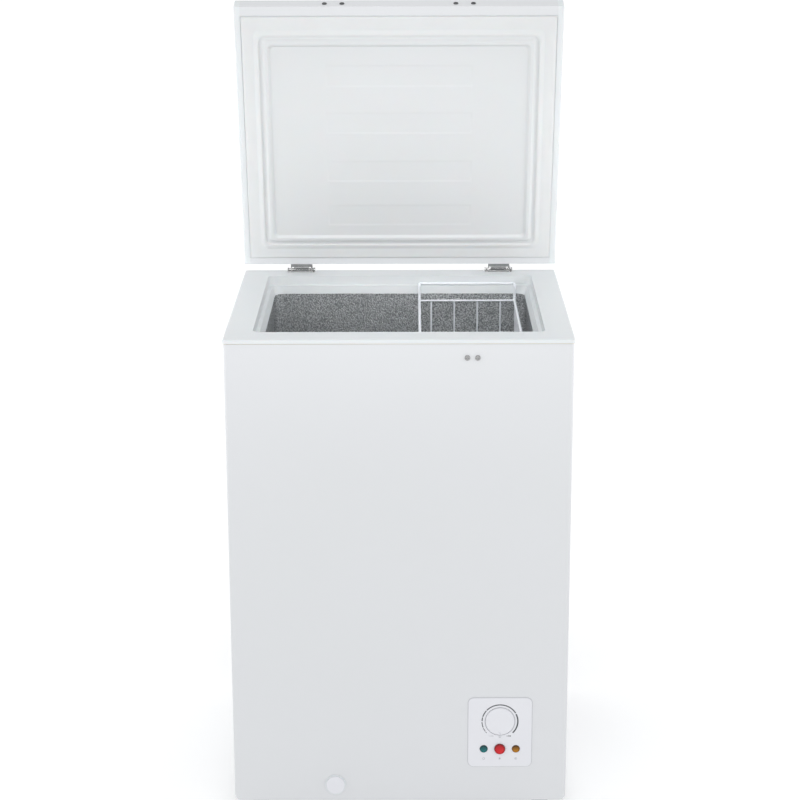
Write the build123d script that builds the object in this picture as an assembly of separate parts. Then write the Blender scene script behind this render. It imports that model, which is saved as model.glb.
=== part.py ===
"""Small chest freezer with its lid held open: cabinet, lid, hinges, basket, controls and cooling circuit.

Axes while modelling: x to the right, y from the cabinet's front face backwards, z up from the floor.
The lid is drawn closed and turned about its hinge pin to its open resting angle when it is written.
"""
import math
import os

from build123d import *

# ---- driving dimensions, millimetres and degrees ----
cabinet_width = 545.0
cabinet_depth = 494.5
cabinet_bottom = 18.0
cabinet_top = 795.5
sheet = 0.8

frame_width = 548.0
frame_front = -1.5
frame_back = 496.0
frame_top = 803.0
frame_wall = 2.5
lip_bottom = 796.5
ledge_height = 787.0
skirt_bottom = 773.0

tub_floor = 75.0
tub_half_width = 221.2
tub_front = 53.6
tub_back = 441.4
tub_radius = 19.0
hump_left = 60.0
hump_top = 280.0

bay_left = 110.0
bay_top = 228.0

lid_front = -0.6
lid_back = 474.4
lid_underside = 808.3
lid_top = 850.0
lid_edge_radius = 14.0
lid_opening_angle = 75.93
side_cap_width = 10.0
pin_y = 483.85
pin_z = 806.5
pin_radius = 2.5
hinge_centre = 174.0

panel_x = 163.3
panel_z = 140.2
panel_width = 103.6
panel_height = 121.7
panel_face = -1.6
knob_z = 159.9
knob_radius = 24.0
lamp_z = 111.1
lamp_offset = 26.3

drain_x = -106.2
drain_z = 46.4
drain_y = 100.0

basket_left = 34.0
basket_right = 200.5
basket_front = 60.0
basket_back = 435.0
basket_rim = 762.0
basket_floor = 590.0
thick_wire = 2.5
end_wire = 1.75
thin_wire = 1.5

# ---- derived dimensions ----
half_cabinet = cabinet_width / 2
half_frame = frame_width / 2
inside_half = half_cabinet - sheet
inside_back = cabinet_depth - 1.0
button_face = panel_face - 3.0
running = 0.05
loose = 0.3


def turned_back(y, z):
    """Where a point of the closed lid comes to rest, as (y, z)."""
    angle = math.radians(lid_opening_angle)
    dy, dz = y - pin_y, z - pin_z
    return (
        pin_y + dy * math.cos(angle) + dz * math.sin(angle),
        pin_z - dy * math.sin(angle) + dz * math.cos(angle),
    )


rear_reach = turned_back(lid_back - lid_edge_radius, lid_top - lid_edge_radius)[0] + lid_edge_radius
middle_y = (button_face + rear_reach) / 2
pin_axis = Axis((0, pin_y, pin_z), (-1, 0, 0))


# ---- shared shapes ----
def block(x0, x1, y0, y1, z0, z1):
    centre = Pos((x0 + x1) / 2, (y0 + y1) / 2, (z0 + z1) / 2)
    return centre * Box(x1 - x0, y1 - y0, z1 - z0)


def rounded_block(x0, x1, y0, y1, z0, z1, radius):
    """A block whose upright edges are rounded."""
    outline = Pos((x0 + x1) / 2, (y0 + y1) / 2, z0) * RectangleRounded(x1 - x0, y1 - y0, radius)
    return extrude(outline, z1 - z0)


def upright(x, y, z0, z1, radius):
    return Pos(x, y, (z0 + z1) / 2) * Cylinder(radius, z1 - z0)


def lengthwise(x, z, y0, y1, radius):
    """A round bar along y."""
    return Pos(x, (y0 + y1) / 2, z) * Rot(90, 0, 0) * Cylinder(radius, y1 - y0)


def crosswise(y, z, x0, x1, radius):
    """A round bar along x."""
    return Pos((x0 + x1) / 2, y, z) * Rot(0, 90, 0) * Cylinder(radius, x1 - x0)


def funnel(lower, upper):
    """The space between two level rounded rectangles, each (half width, front, back, radius, z)."""
    levels = []
    for half, front, back, radius, z in (lower, upper):
        levels.append(Pos(0, (front + back) / 2, z) * RectangleRounded(2 * half, back - front, radius))
    return loft(levels)


def grown(level, amount, z):
    half, front, back, radius, _ = level
    return (half + amount, front - amount, back + amount, radius + amount, z)


def tube(points, radius, bend):
    """A round bar or pipe along straight runs joined by arcs."""
    path = FilletPolyline(*points, radius=bend)
    start = Plane(origin=path @ 0, z_dir=path % 0)
    return sweep(start * Circle(radius), path=path)


def cross_head(radius, height):
    """A domed screw head with a cross recess, its seat at z = 0 and its top at z = height."""
    head = Cylinder(radius, height, align=(Align.CENTER, Align.CENTER, Align.MIN))
    head = fillet(head.edges().group_by(Axis.Z)[-1], 0.45 * height)
    slot = Pos(0, 0, height) * Box(1.2 * radius, 0.26 * radius, height)
    return head - slot - Rot(0, 0, 90) * slot


def screw(radius, height, shank_radius, shank_length):
    shank = Cylinder(shank_radius, shank_length, align=(Align.CENTER, Align.CENTER, Align.MAX))
    return cross_head(radius, height) + shank


def save(node, shape):
    solids = shape if isinstance(shape, (list, tuple)) else [shape]
    moved = [Pos(0, -middle_y, 0) * s for s in solids]
    whole = moved[0] if len(moved) == 1 else Compound(children=moved)
    whole.label = node
    export_step(whole, f"parts/{node}.step")


def save_on_lid(node, shape):
    solids = shape if isinstance(shape, (list, tuple)) else [shape]
    save(node, [s.rotate(pin_axis, lid_opening_angle) for s in solids])


os.makedirs("parts", exist_ok=True)

# ---- levels of the plastic frame's stepped inner wall ----
mouth = (230.0, 48.0, 447.0, 10.0, frame_top)
ledge_outside = (229.0, 49.0, 446.0, 10.0, ledge_height)
ledge_inside = (223.0, 54.0, 441.0, 13.0, ledge_height)
skirt_edge = (217.8, 57.0, 438.0, 18.0, skirt_bottom)


# ---- outer sheet-metal wrapper: front and both sides from one sheet ----
front_bend = 4.0
bottom_bend = 12.0


def wrapper_volume(inset, top):
    """Body outline with bent front corners and rolled-under side edges, shrunk by inset."""
    half = half_cabinet - inset
    low = cabinet_bottom + inset
    deep = cabinet_depth + 20
    plan = rounded_block(-half, half, inset, deep, low, top, front_bend - inset)
    roll = bottom_bend - inset
    height = top - low + 2 * roll
    side_view = Pos(0, 0, low + height / 2) * Rot(90, 0, 0) * RectangleRounded(2 * half, height, roll)
    tunnel = extrude(side_view, deep + 10, both=True)
    return plan & tunnel & block(-half - 1, half + 1, -1, inside_back, 0, top)


bezel_opening = block(panel_x - 47, panel_x + 47, -2, 2, panel_z - 56, panel_z + 56)
catch_x = (106.4, 122.7)
catch_z = 773.5
catch_shank = 2.0
bay_window = block(half_cabinet - 3, half_cabinet + 3, 225, 475, 42, 212)


def outer_shell():
    shell = wrapper_volume(0, cabinet_top) - wrapper_volume(sheet, cabinet_top + 1)
    underside = block(-258.5, 258.5, 20, cabinet_depth, cabinet_bottom - 1, cabinet_bottom + 2)
    shell -= underside + bezel_opening + bay_window
    shell -= lengthwise(drain_x, drain_z, -2, 4, 10 + loose)
    for x in catch_x:
        shell -= lengthwise(x, catch_z, -2, 4, catch_shank)
    return shell


gland_x = 150.0
gland_z = 208.0
gland_hole = 8.0


def back_panel():
    panel = rounded_block(-half_cabinet, half_cabinet, 0, cabinet_top - cabinet_bottom, 0, 1, 3)
    panel = Pos(0, cabinet_depth, cabinet_bottom) * Rot(90, 0, 0) * panel
    for row in range(8):
        z = 60 + 18 * row
        panel -= block(130, 245, inside_back - 1, cabinet_depth + 1, z, z + 5)
    return panel - lengthwise(gland_x, gland_z, inside_back - 1, cabinet_depth + 1, gland_hole)


save("outer_shell", outer_shell())
save("back_panel", back_panel())

pan_top = cabinet_bottom + sheet + 1.2
base_pan = block(-260, 260, 1, inside_back, cabinet_bottom + sheet, pan_top)
save("base_pan", base_pan)


# ---- plastic top frame ----
hinge_screw_x = (-12.0, 12.0)
hinge_screw_y = 491.0


def hinge_recess(side):
    return block(side * hinge_centre - 26, side * hinge_centre + 26, 476, frame_back + 1, 801, frame_top + 1)


def top_frame():
    slab = rounded_block(-half_frame, half_frame, frame_front, frame_back, lip_bottom, frame_top, 4)
    slab = fillet(slab.edges().group_by(Axis.Z)[-1], 2.5)
    slab -= block(-inside_half, inside_half, sheet, inside_back, lip_bottom - 1, frame_top - 3)
    upper_wall = funnel(grown(ledge_outside, frame_wall, ledge_height - frame_wall),
                        grown(mouth, frame_wall, frame_top - 3))
    lower_wall = funnel(grown(skirt_edge, frame_wall, skirt_bottom), grown(ledge_inside, frame_wall, ledge_height))
    frame = slab + upper_wall + lower_wall
    frame -= funnel(ledge_outside, grown(mouth, 0, frame_top))
    frame -= funnel(skirt_edge, ledge_inside)
    for side in (-1, 1):
        frame -= hinge_recess(side)
        for x in hinge_screw_x:
            frame -= upright(side * hinge_centre + x, hinge_screw_y, lip_bottom, frame_top, 1.6)
    return frame


save("top_frame", top_frame())


# ---- embossed aluminium tub with a step over the compressor bay ----
def tub_volume(grow, top):
    volume = rounded_block(-tub_half_width - grow, tub_half_width + grow, tub_front - grow, tub_back + grow,
                           tub_floor - grow, top, tub_radius + grow)
    return volume - block(hump_left + grow, 300, 0, cabinet_depth, 0, hump_top - grow)


liner_top = skirt_bottom + 2
drain_bore = 8.0
inner_liner = tub_volume(sheet, liner_top) - tub_volume(0, liner_top + 1)
inner_liner -= upright(drain_x, drain_y, tub_floor - 2, tub_floor + 1, drain_bore + loose)
save("inner_liner", inner_liner)

# ---- evaporator pipe wound on the tub's sides and back, and condenser pipe inside the wrapper ----
evaporator_radius = 4.0
condenser_radius = 2.5
coil_x = tub_half_width + sheet + evaporator_radius + 0.2
coil_back = tub_back + sheet + evaporator_radius + 0.2
coil_front = 72.0
coil_levels = [320 + 80 * level for level in range(6)]
pipe_end = 222.0
evaporator_points = [(coil_x, coil_front, pipe_end)]
for number, z in enumerate(coil_levels):
    side = 1 if number % 2 == 0 else -1
    evaporator_points += [(side * coil_x, coil_front, z), (side * coil_x, coil_back, z),
                          (-side * coil_x, coil_back, z), (-side * coil_x, coil_front, z)]
suction_y = 45.0
evaporator_points[-1] = (coil_x, suction_y, coil_levels[-1])
evaporator_points.append((coil_x, suction_y, pipe_end))

skin_x = inside_half - condenser_radius - 0.3
skin_back = inside_back - condenser_radius - 0.3
skin_front, skin_rear = 40.0, 455.0


def serpentine(x, levels):
    """Back and forth along a side wall, starting at the rear."""
    points = []
    for number, z in enumerate(levels):
        run = [(x, skin_rear, z), (x, skin_front, z)]
        points += run if number % 2 == 0 else run[::-1]
    return points


right_levels = [300, 446, 592, 740]
left_levels = [740, 604, 468, 332, 196, 60]
drier_x, drier_y, drier_z = 130.0, 438.0, 60.0
condenser_points = [
    (skin_x, skin_rear, pipe_end),
    *serpentine(skin_x, right_levels)[:-1],
    (skin_x, skin_back, right_levels[-1]),
    (-skin_x, skin_back, left_levels[0]),
    *serpentine(-skin_x, left_levels)[1:-1],
    (-skin_x, skin_back, left_levels[-1]),
    (drier_x, skin_back, drier_z),
    (drier_x, drier_y, drier_z),
]
save("evaporator_coil", tube(evaporator_points, evaporator_radius, 22))
save("condenser_coil", tube(condenser_points, condenser_radius, 20))


# ---- foam between wrapper and tub ----
def drain_bore_shape(radius, front, top):
    level = lengthwise(drain_x, drain_z, front, drain_y + radius, radius)
    return level + upright(drain_x, drain_y, drain_z, top, radius)


def foam_insulation():
    body = wrapper_volume(sheet, cabinet_top) & block(-300, 300, 0, 600, pan_top, cabinet_top)
    body += block(-inside_half, inside_half, sheet, inside_back, cabinet_top, frame_top - 3)
    body -= tub_volume(sheet, frame_top)
    body -= rounded_block(-233, 233, 44.7, 450.3, skirt_bottom - 1, frame_top, 13)
    body -= block(bay_left, 300, 0, inside_back, 0, bay_top)
    body -= drain_bore_shape(10 + loose, -1, tub_floor)
    body -= tube(evaporator_points, evaporator_radius + loose, 22)
    body -= tube(condenser_points, condenser_radius + loose, 20)
    for x in catch_x:
        body -= lengthwise(x, catch_z, -1, 14, catch_shank + 0.2)
    for side in (-1, 1):
        body -= hinge_recess(side)
        for x in hinge_screw_x:
            body -= upright(side * hinge_centre + x, hinge_screw_y, frame_top - 16, frame_top, 1.6)
    return body


save("foam_insulation", foam_insulation())

# ---- compressor bay ----
bay_panel = block(bay_left, bay_left + 0.8, sheet, 484, pan_top, bay_top)
bay_panel += block(bay_left, 262, sheet, 484, bay_top - 0.8, bay_top)
for x, y, radius in ((coil_x, coil_front, 5), (coil_x, suction_y, 5)):
    bay_panel -= upright(x, y, bay_top - 2, bay_top + 1, radius)
save("compressor_bay_panel", bay_panel)

compressor_x, compressor_y = 191.0, 300.0
can_radius = 65.0
can_bottom, can_seam, can_top = 44.0, 118.0, 194.0
plate_top = pan_top + 2.0


def compressor_can():
    """Two drawn steel halves welded at a flange; hollow."""
    def dome(radius, low, high, corner):
        cup = Cylinder(radius, high - low, align=(Align.CENTER, Align.CENTER, Align.MIN))
        return Pos(0, 0, low) * fillet(cup.edges().filter_by(GeomType.CIRCLE), corner)
    can = dome(can_radius, can_bottom, can_top, 26) - dome(can_radius - 3.5, can_bottom + 3.5, can_top - 3.5, 22)
    seam = Pos(0, 0, can_seam) * Cylinder(can_radius + 3, 6)
    seam -= Pos(0, 0, can_seam) * Cylinder(can_radius - 2, 7)
    return Pos(compressor_x, compressor_y, 0) * (can + seam)


grommet_spots = [(compressor_x + sx * 52, compressor_y + sy * 72) for sx in (-1, 1) for sy in (-1, 1)]
bracket_low, bracket_high = 38.0, 41.0


def compressor_feet():
    """Pressed bracket welded under the can, with a hole over each grommet."""
    bracket = rounded_block(compressor_x - 66, compressor_x + 66, compressor_y - 88, compressor_y + 88,
                            bracket_low, bracket_high, 12)
    bracket += upright(compressor_x, compressor_y, bracket_high, can_bottom + 1, 36)
    for x, y in grommet_spots:
        bracket -= upright(x, y, bracket_low - 1, bracket_high + 1, 7)
    return bracket


save("compressor", compressor_can() + compressor_feet())

compressor_plate = rounded_block(112, 264, 196, 488, pan_top, plate_top, 4)
save("compressor_plate", compressor_plate)

grommets, grommet_bolts = [], []
for x, y in grommet_spots:
    sleeve = upright(x, y, plate_top, bracket_low, 11) + upright(x, y, bracket_low, bracket_high + 1, 6.8)
    sleeve += upright(x, y, bracket_high, bracket_high + 5, 10)
    grommets.append(sleeve - upright(x, y, plate_top - 1, bracket_high + 6, 3.3))
    bolt = Pos(x, y, bracket_high + 5) * extrude(RegularPolygon(6, 6), 4)
    grommet_bolts.append(bolt + upright(x, y, plate_top, bracket_high + 6, 3))
save("compressor_grommets", grommets)
save("compressor_bolts", grommet_bolts)

relay_face = compressor_y - can_radius - 3.4
start_relay_cover = rounded_block(compressor_x - 22, compressor_x + 22, relay_face - 28, relay_face, 92, 146, 3)
start_relay_cover -= block(compressor_x - 20, compressor_x + 20, relay_face - 26, relay_face + 1, 94, 144)
save("start_relay_cover", start_relay_cover)

filter_drier = lengthwise(drier_x, drier_z, drier_y - 52, drier_y - 8, 8)
filter_drier += Pos(drier_x, drier_y - 4, drier_z) * Rot(-90, 0, 0) * Cone(8, 3, 8)
filter_drier += Pos(drier_x, drier_y - 55, drier_z) * Rot(90, 0, 0) * Cone(8, 1.6, 6)
save("filter_drier", filter_drier)

capillary = tube([(drier_x, drier_y - 58, drier_z), (drier_x, drier_y - 78, drier_z), (drier_x, drier_y - 78, 203),
                  (coil_x, coil_front, 203), (coil_x, coil_front, pipe_end)], 1.1, 8)
suction_pipe = tube([(coil_x, suction_y, pipe_end), (coil_x, suction_y, 136),
                     (coil_x, compressor_y - 57.6, 136)], evaporator_radius, 16)
discharge_x = compressor_x + 30
discharge_pipe = tube([(discharge_x, compressor_y + 59.4, 150), (discharge_x, skin_rear, 150),
                       (skin_x, skin_rear, 150), (skin_x, skin_rear, pipe_end)], condenser_radius, 12)
save("refrigerant_pipes", [capillary, suction_pipe, discharge_pipe])

# ---- louvred cover on the right-hand side of the bay, and the cord's inlet grommet ----
grille_out = half_frame
side_grille = block(half_cabinet, grille_out, 214, 486, 32, 223)
for row in range(12):
    z = 50 + 13 * row
    for y0 in (232, 356):
        side_grille -= block(half_cabinet - 1, grille_out + 1, y0, y0 + 112, z, z + 6)
grille_screw_spots = [(y, z) for y in (221, 479) for z in (38, 217)]
grille_screws = []
for y, z in grille_screw_spots:
    side_grille -= crosswise(y, z, half_cabinet - 1, half_cabinet + 3, 1.8)
    grille_screws.append(Pos(half_cabinet + 0.9, y, z) * Rot(0, 90, 0) * screw(3.2, 0.6, 1.7, 0.8))
    side_grille -= crosswise(y, z, half_cabinet + 0.9, half_cabinet + 3, 3.4)
save("side_grille", side_grille)
save("grille_screws", grille_screws)

gland_y = cabinet_depth
cord_inlet_grommet = lengthwise(gland_x, gland_z, inside_back - 3, gland_y + 2, gland_hole - loose)
for y0 in (inside_back - 3, gland_y):
    cord_inlet_grommet += lengthwise(gland_x, gland_z, y0, y0 + 3 if y0 < inside_back else y0 + 2, gland_hole + 3)
cord_inlet_grommet -= lengthwise(gland_x, gland_z, inside_back - 5, gland_y + 5, 4)
save("cord_inlet_grommet", cord_inlet_grommet)

# ---- feet ----
feet = []
for x in (-232, 232):
    for y in (48, 448):
        pad = Cylinder(20, 10, align=(Align.CENTER, Align.CENTER, Align.MIN))
        pad = fillet(pad.edges().group_by(Axis.Z)[0], 2)
        feet.append(Pos(x, y, 0) * pad + upright(x, y, 10, cabinet_bottom + sheet, 11))
save("feet", feet)

# ---- drain: spout and tube through the foam, front cap, plug in the tub's floor ----
spout_flange = 17.5
drain_tube = drain_bore_shape(10, 0, tub_floor - sheet) + lengthwise(drain_x, drain_z, -1.2, 0, spout_flange)
drain_tube -= drain_bore_shape(drain_bore, -2, tub_floor)
save("drain_tube", drain_tube)

drain_cap = lengthwise(drain_x, drain_z, -4.0, -1.2, 15.5)
drain_cap = fillet(drain_cap.edges().group_by(Axis.Y)[0], 1.2)
drain_cap += lengthwise(drain_x, drain_z, -1.3, 12, drain_bore - loose)
drain_cap -= lengthwise(drain_x, drain_z, 0, 13, drain_bore - 2.5)
save("drain_cap", drain_cap)

tub_plug = upright(drain_x, drain_y, tub_floor, tub_floor + 3, 14)
tub_plug = fillet(tub_plug.edges().group_by(Axis.Z)[-1], 1)
tub_plug += upright(drain_x, drain_y, tub_floor - 12, tub_floor + 1, drain_bore - loose)
tub_plug += block(drain_x - 1.5, drain_x + 1.5, drain_y - 7, drain_y + 7, tub_floor + 2, tub_floor + 10)
save("drain_plug", tub_plug)

# ---- control panel at the bottom right of the front ----
lamp_x = {"power": panel_x - lamp_offset, "button": panel_x, "run": panel_x + lamp_offset}
well_depth = 6.5
lamp_radius, button_radius = 6.5, 8.8


def front_plate(width, height, y0, y1, radius):
    plate = extrude(RectangleRounded(width, height, radius), y1 - y0)
    return Pos(panel_x, y1, panel_z) * Rot(90, 0, 0) * plate


def control_bezel():
    plate = front_plate(panel_width, panel_height, panel_face, 0, 9.5)
    plate = fillet(plate.edges().group_by(Axis.Y)[0], 0.7)
    skirt = front_plate(93.4, 111.4, 0, 8, 4) - front_plate(89.4, 107.4, -1, 9, 2)
    well = lengthwise(panel_x, knob_z, 0, well_depth + 1.5, knob_radius + 2.6)
    bezel = plate + skirt + well
    bezel -= lengthwise(panel_x, knob_z, panel_face - 1, well_depth, knob_radius + 0.9)
    bezel -= lengthwise(panel_x, knob_z, 0, well_depth + 3, 4)
    for x in (lamp_x["power"], lamp_x["run"]):
        bezel -= lengthwise(x, lamp_z, panel_face - 1, 1, lamp_radius + 0.2)
    return bezel - lengthwise(lamp_x["button"], lamp_z, panel_face - 1, 1, button_radius + 0.35)


save("control_bezel", control_bezel())


def front_cap(x, z, face, back, radius, edge):
    cap = lengthwise(x, z, face, back, radius)
    return fillet(cap.edges().group_by(Axis.Y)[0], edge)


for name in ("power", "run"):
    lens = front_cap(lamp_x[name], lamp_z, panel_face - 0.9, 6, lamp_radius, 0.8)
    lens += lengthwise(lamp_x[name], lamp_z, 0, 1.4, lamp_radius + 1.6)
    save(f"{name}_lamp_lens", lens)
lamp_holders = [lengthwise(lamp_x[name], lamp_z, 6, 24, 5) for name in ("power", "run")]
save("lamp_holders", lamp_holders)

button_stem = 3.0
button = front_cap(panel_x, lamp_z, button_face, 5, button_radius, 1.2)
button += lengthwise(panel_x, lamp_z, 3.4, 5, button_radius + 1.6)
button += lengthwise(panel_x, lamp_z, 5, 15, button_stem)
save("fast_freeze_button", button)
switch = block(panel_x - 9, panel_x + 9, 12, 34, lamp_z - 9, lamp_z + 9)
switch -= lengthwise(panel_x, lamp_z, 11, 20, button_stem + running)
save("fast_freeze_switch", switch)

spindle = 3.0
knob = front_cap(panel_x, knob_z, panel_face - 1.4, well_depth - 0.5, knob_radius, 1.8)
knob -= lengthwise(panel_x, knob_z, 1.2, well_depth, knob_radius - 2.5)
knob += lengthwise(panel_x, knob_z, 0, well_depth - 0.5, 5.5)
knob -= lengthwise(panel_x, knob_z, 2.0, well_depth, spindle)
knob -= Pos(panel_x, panel_face - 1.4, knob_z - 19.5) * Sphere(1.6)
save("thermostat_knob", knob)
save("thermostat_spindle", lengthwise(panel_x, knob_z, 2.0, 30, spindle))
thermostat = block(panel_x - 19, panel_x + 19, well_depth + 1.5, 40, knob_z - 16, knob_z + 16)
thermostat -= lengthwise(panel_x, knob_z, 0, 31, spindle + running)
save("thermostat_body", thermostat)

control_box = front_plate(97.4, 115.4, sheet, 56, 5) - front_plate(93.4, 111.4, 0, 54, 4)
control_box -= block(panel_x - 8, panel_x + 8, 50, 60, panel_z - 8, panel_z + 8)
save("control_box", control_box)

catch_screws = []
for x in catch_x:
    catch_screws.append(Pos(x, 0, catch_z) * Rot(90, 0, 0) * screw(4.3, 2.0, catch_shank - 0.1, 13))
save("catch_screws", catch_screws)

# ---- hinges ----
ear_radius = 4.2
base_top = 802.0
ear_inner = 17.0


def hinge_base(side):
    """Plate in the frame's recess with two ears that carry the pin and a turned-up front edge."""
    x = side * hinge_centre
    base = block(x - 23, x + 23, 477, 494.5, 801, base_top)
    base += block(x - 16.5, x + 16.5, 477, 478.2, 801, 805.8)
    for ear in (-1, 1):
        x0, x1 = sorted((x + ear * ear_inner, x + ear * (ear_inner + 1.2)))
        base += block(x0, x1, pin_y - ear_radius, pin_y + ear_radius, 801, pin_z)
        base += crosswise(pin_y, pin_z, x0, x1, ear_radius)
    base -= crosswise(pin_y, pin_z, x - 30, x + 30, pin_radius + running)
    for dx in hinge_screw_x:
        base -= upright(x + dx, hinge_screw_y, 800, 803, 1.7)
    return base


def hinge_leaf(side):
    """Pressed leaf on the lid: rear plate, web round the lower edge, and two ears splayed out to the pin."""
    x = side * hinge_centre
    leaf = block(x - 18.5, x + 18.5, lid_back, lid_back + 1.4, lid_underside - 1.4, 836)
    leaf += block(x - 18.5, x + 18.5, lid_back, 479.4, lid_underside - 1.4, lid_underside)
    side_outline = Polygon((474.4, 804.6), (pin_y, pin_z - ear_radius), (pin_y, pin_z + ear_radius), (474.4, 818),
                           align=None)
    side_outline += Pos(pin_y, pin_z) * Circle(ear_radius)
    web = extrude(Plane.YZ * side_outline, 400, both=True)
    for ear in (-1, 1):
        splay = Polygon((x + ear * 17.1, 474.4), (x + ear * 18.5, 474.4), (x + ear * 22.6, 488.4),
                        (x + ear * 21.2, 488.4), align=None)
        leaf += extrude(Pos(0, 0, 795) * splay, 30) & web
    leaf -= crosswise(pin_y, pin_z, x - 30, x + 30, pin_radius + running)
    for dx in (-10, 10):
        leaf -= lengthwise(x + dx, 826, lid_back - 1, lid_back + 3, 2.2)
    return leaf


spring_rings, pins, leaf_screws, base_screws = [], [], [], []
for side in (-1, 1):
    x = side * hinge_centre
    for ring in range(13):
        spring_rings.append(Pos(x - 12 + 2 * ring, pin_y, pin_z) * Rot(0, 90, 0) * Torus(3.4, 0.75))
    pin = crosswise(pin_y, pin_z, x - 23.4, x + 23.4, pin_radius)
    for head in (-1, 1):
        pin += crosswise(pin_y, pin_z, *sorted((x + head * 22.9, x + head * 24.4)), 3.6)
    pins.append(pin)
    for dx in (-10, 10):
        leaf_screws.append(Pos(x + dx, lid_back + 1.4, 826) * Rot(-90, 0, 0) * screw(3.6, 1.8, 2.0, 14))
    for dx in hinge_screw_x:
        base_screws.append(Pos(x + dx, hinge_screw_y, base_top) * screw(2.9, 1.3, 1.5, 14))
save("hinge_bases", [hinge_base(-1), hinge_base(1)])
save("hinge_springs", spring_rings)
save("hinge_base_screws", base_screws)
save_on_lid("hinge_leaves", [hinge_leaf(-1), hinge_leaf(1)])
save_on_lid("hinge_pins", pins)
save_on_lid("hinge_leaf_screws", leaf_screws)

# ---- lid, drawn closed ----
flange = 15.6
rear_flange = 12.0
skin_half = half_frame - side_cap_width
gasket_outer = (262.6, lid_front + flange + 1.6, lid_back - rear_flange - 1.0, 2.0)
gasket_inner = (234.0, 50.4, 433.4, 4.0)
panel_sheet = 1.5
plane_height = lid_underside + sheet
plateau_base = (231.5, 52.5, 431.5, 12.0, plane_height)
ridge_outside = (225.3, 58.7, 425.3, 8.0, plane_height - 8.0)
ridge_inside = (221.0, 63.0, 421.0, 7.0, plane_height - 8.0)
field = (215.0, 69.0, 415.0, 6.0, plane_height - 5.2)


def lid_profile(inset, x0, x1):
    """The lid's section, rounded along the top front and top back edges, run across from x0 to x1."""
    radius = lid_edge_radius - inset
    y0, y1 = lid_front + inset, lid_back - inset
    low, high = lid_underside + inset, lid_top - inset
    section = Polygon((y0, low), (y1, low), (y1, high - radius), (y0, high - radius), align=None)
    section += Polygon((y0 + radius, low), (y1 - radius, low), (y1 - radius, high), (y0 + radius, high), align=None)
    for y in (y0 + radius, y1 - radius):
        section += Pos(y, high - radius) * Circle(radius)
    return extrude(Plane.YZ * section, x1 - x0).translate((x0, 0, 0))


lid_screw_x = (-123.6, -94.5, 94.5, 123.6)
lid_screw_z = 820.3
lid_skin = lid_profile(0, -skin_half, skin_half) - lid_profile(sheet, -skin_half - 1, skin_half + 1)
lid_skin -= block(-skin_half - 1, skin_half + 1, lid_front + flange, lid_back - rear_flange,
                  lid_underside - 1, lid_underside + 2)
for x in lid_screw_x:
    lid_skin -= lengthwise(x, lid_screw_z, lid_front - 1, lid_front + 2, 2.1)
leaf_spots = [side * hinge_centre + dx for side in (-1, 1) for dx in (-10, 10)]
for x in leaf_spots:
    lid_skin -= lengthwise(x, 826, lid_back - 2, lid_back + 1, 2.1)
save_on_lid("lid_skin", lid_skin)

for name, x0, x1 in (("left", -half_frame, -skin_half), ("right", skin_half, half_frame)):
    cap = lid_profile(0, x0, x1)
    rim = cap.edges().group_by(Axis.X)[0 if name == "left" else -1]
    save_on_lid(f"lid_side_cap_{name}", fillet(rim, 2.0))


def plateau(shrink):
    """The raised middle of the inner panel with a ridge round its sunk field, less shrink on every side."""
    body = funnel(grown(ridge_outside, -shrink, ridge_outside[4] + shrink),
                  grown(plateau_base, -shrink, plane_height + panel_sheet))
    return body - funnel(grown(ridge_inside, shrink, ridge_inside[4] + shrink), grown(field, shrink, field[4] + shrink))


def lid_inner_panel():
    low, high = plane_height, plane_height + panel_sheet
    sheet_plate = block(-skin_half, skin_half, lid_front + sheet, lid_back - sheet, low, high)
    panel = sheet_plate + plateau(0) - plateau(panel_sheet)
    for distance in (354, 269, 180, 97):
        y = lid_back - distance
        panel -= rounded_block(-125, 125, y - 20.5, y + 20.5, field[4] - 1, field[4] + 0.6, 6)
    return panel


save_on_lid("lid_inner_panel", lid_inner_panel())

lid_foam = lid_profile(sheet, -skin_half, skin_half)
lid_foam -= block(-300, 300, -10, 500, 0, plane_height + panel_sheet)
lid_foam += plateau(panel_sheet)
for x in lid_screw_x:
    lid_foam -= lengthwise(x, lid_screw_z, lid_front, lid_front + 16, 2.2)
for x in leaf_spots:
    lid_foam -= lengthwise(x, 826, lid_back - 16, lid_back, 2.2)
save_on_lid("lid_foam", lid_foam)

gasket_low = frame_top + 0.2
half, front, back, radius = gasket_outer
gasket = rounded_block(-half, half, front, back, gasket_low, plane_height, radius)
gasket = fillet(gasket.edges().group_by(Axis.Z)[0], 1.6)
half, front, back, radius = gasket_inner
gasket -= rounded_block(-half, half, front, back, gasket_low - 1, plane_height + 1, radius)
save_on_lid("lid_gasket", gasket)

lid_screws = []
for x in lid_screw_x:
    lid_screws.append(Pos(x, lid_front, lid_screw_z) * Rot(90, 0, 0) * screw(4.0, 1.8, 2.0, 14))
save_on_lid("lid_front_screws", lid_screws)

# ---- hanging wire basket ----
ledge_bar = ledge_height + thick_wire
ledge_reach = 8.5
weld = thick_wire + end_wire
end_front, end_back = basket_front + weld, basket_back - weld


def closed_tube(points, radius, bend):
    path = FilletPolyline(*points, radius=bend, close=True)
    start = Plane(origin=path @ 0, z_dir=path % 0)
    return sweep(start * Circle(radius), path=path)


def carrying_wire():
    """One thick wire: both side rims, turned up at each end and out over the frame's ledge."""
    half_loops = []
    for x, order in ((basket_left, 1), (basket_right, -1)):
        side = [(x, basket_front - ledge_reach, ledge_bar), (x, basket_front, ledge_bar),
                (x, basket_front, basket_rim), (x, basket_back, basket_rim),
                (x, basket_back, ledge_bar), (x, basket_back + ledge_reach, ledge_bar)]
        half_loops += side[::order]
    return closed_tube(half_loops, thick_wire, 4.0)


def end_bar(y):
    return crosswise(y, basket_rim, basket_left + 1, basket_right - 1, end_wire)


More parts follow.
